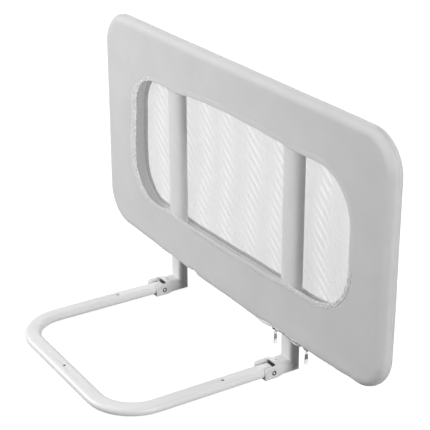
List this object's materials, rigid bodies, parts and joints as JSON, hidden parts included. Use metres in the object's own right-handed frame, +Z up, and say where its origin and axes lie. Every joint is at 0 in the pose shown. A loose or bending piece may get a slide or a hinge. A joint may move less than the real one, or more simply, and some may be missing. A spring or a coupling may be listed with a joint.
{
  "type": "folding bed guard rail",
  "caption": "Folding bed guard rail: netted fabric panel on a tube frame, hinged to a U of flat-oval tube that slides under the mattress.",
  "frame": {"origin": "middle of the footprint, on the surface that the undersides of the elbow brackets stand on", "axes": "+X along the panel, +Y away from the bed, with the upright panel on the +Y side and the U of the base reaching towards -Y under the mattress, +Z up"},
  "size_m": [0.9, 0.3722, 0.506],
  "materials": {
    "powder_coat": "smooth light grey powder coat on steel, satin",
    "bright_steel": "nickel-plated steel and zinc, softly polished",
    "white_plastic": "moulded white plastic, matte",
    "white_sleeve": "thin white fabric sleeve over soft foam",
    "grey_fabric": "tight plain-woven light grey polyester",
    "white_net": "fine white knitted polyester net",
    "zip_teeth": "white nylon coil zip on woven tape"
  },
  "bodies": {
    "base": {"base_tube": "powder_coat", "left_hinge_insert": "white_plastic", "right_hinge_insert": "white_plastic"},
    "guard": {"left_bracket": "powder_coat", "right_bracket": "powder_coat", "left_hinge_pin": "bright_steel", "right_hinge_pin": "bright_steel", "left_bracket_rivet": "bright_steel", "right_bracket_rivet": "bright_steel", "left_upright_tube": "powder_coat", "right_upright_tube": "powder_coat", "left_upright_sleeve": "white_sleeve", "right_upright_sleeve": "white_sleeve", "left_lower_connector": "white_plastic", "right_lower_connector": "white_plastic", "left_upper_connector": "white_plastic", "right_upper_connector": "white_plastic", "left_side_rail": "powder_coat", "right_side_rail": "powder_coat", "top_rail": "powder_coat", "bottom_rail": "powder_coat", "cover_front": "grey_fabric", "cover_back": "grey_fabric", "window_binding_front": "grey_fabric", "window_binding_back": "grey_fabric", "window_net_front": "white_net", "window_net_back": "white_net", "zip_row_front": "zip_teeth", "zip_row_back": "zip_teeth", "zip_chain_left": "zip_teeth", "zip_chain_right": "zip_teeth", "zip_stop_left": "bright_steel", "zip_stop_right": "bright_steel"},
    "left_slider": {"left_slider": "bright_steel"},
    "right_slider": {"right_slider": "bright_steel"},
    "left_pull": {"left_pull": "bright_steel"},
    "right_pull": {"right_pull": "bright_steel"}
  },
  "joints": [
    {"name": "guard_fold", "type": "hinge", "parent": "base", "child": "guard", "pos_m": [0, 0.12685, 0.011], "axis": [1, 0, 0], "range_deg": [0, 90]},
    {"name": "left_slider_run", "type": "slide", "parent": "guard", "child": "left_slider", "axis": [1, 0, 0], "range_m": [-0.214, 0]},
    {"name": "right_slider_run", "type": "slide", "parent": "guard", "child": "right_slider", "axis": [0.9994, 0, 0.0348], "range_m": [0, 0.058]},
    {"name": "left_pull_swing", "type": "hinge", "parent": "left_slider", "child": "left_pull", "pos_m": [0.143, 0.17185, 0.05385], "axis": [0, 1, 0], "range_deg": [-70, 85]},
    {"name": "right_pull_swing", "type": "hinge", "parent": "right_slider", "child": "right_pull", "pos_m": [0.23514, 0.17185, 0.05681], "axis": [0, 1, 0], "range_deg": [-85, 85]}
  ]
}
